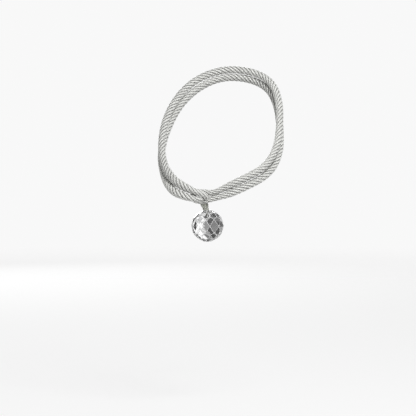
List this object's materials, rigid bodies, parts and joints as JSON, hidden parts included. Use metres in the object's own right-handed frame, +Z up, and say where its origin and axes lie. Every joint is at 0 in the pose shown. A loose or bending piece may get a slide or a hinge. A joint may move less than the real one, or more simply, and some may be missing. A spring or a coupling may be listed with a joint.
{
  "type": "beaded curtain tieback",
  "caption": "Twisted cord folded into a loop that closes round a gathered curtain, with a faceted clear ball hung from its bound tails as the stopper.",
  "frame": {"origin": "Seat of the loop on a wall hook: under the lower strand, at the middle of the back of the loop.", "axes": "+Z up; -Y to the front, where the tails cross the bight and the ball hangs; +X to the right as seen from the front."},
  "size_m": [0.1198, 0.1055, 0.1638],
  "materials": {
    "cord": "satin twisted yarn, silver grey",
    "binding": "satin thread, silver grey",
    "thin_cord": "waxed thread",
    "crystal": "polished facets, clear"
  },
  "bodies": {
    "root": {"twisted_cord": "cord", "neck_binding": "binding", "bead_cord": "thin_cord", "crystal_ball": "crystal"}
  },
  "joints": []
}
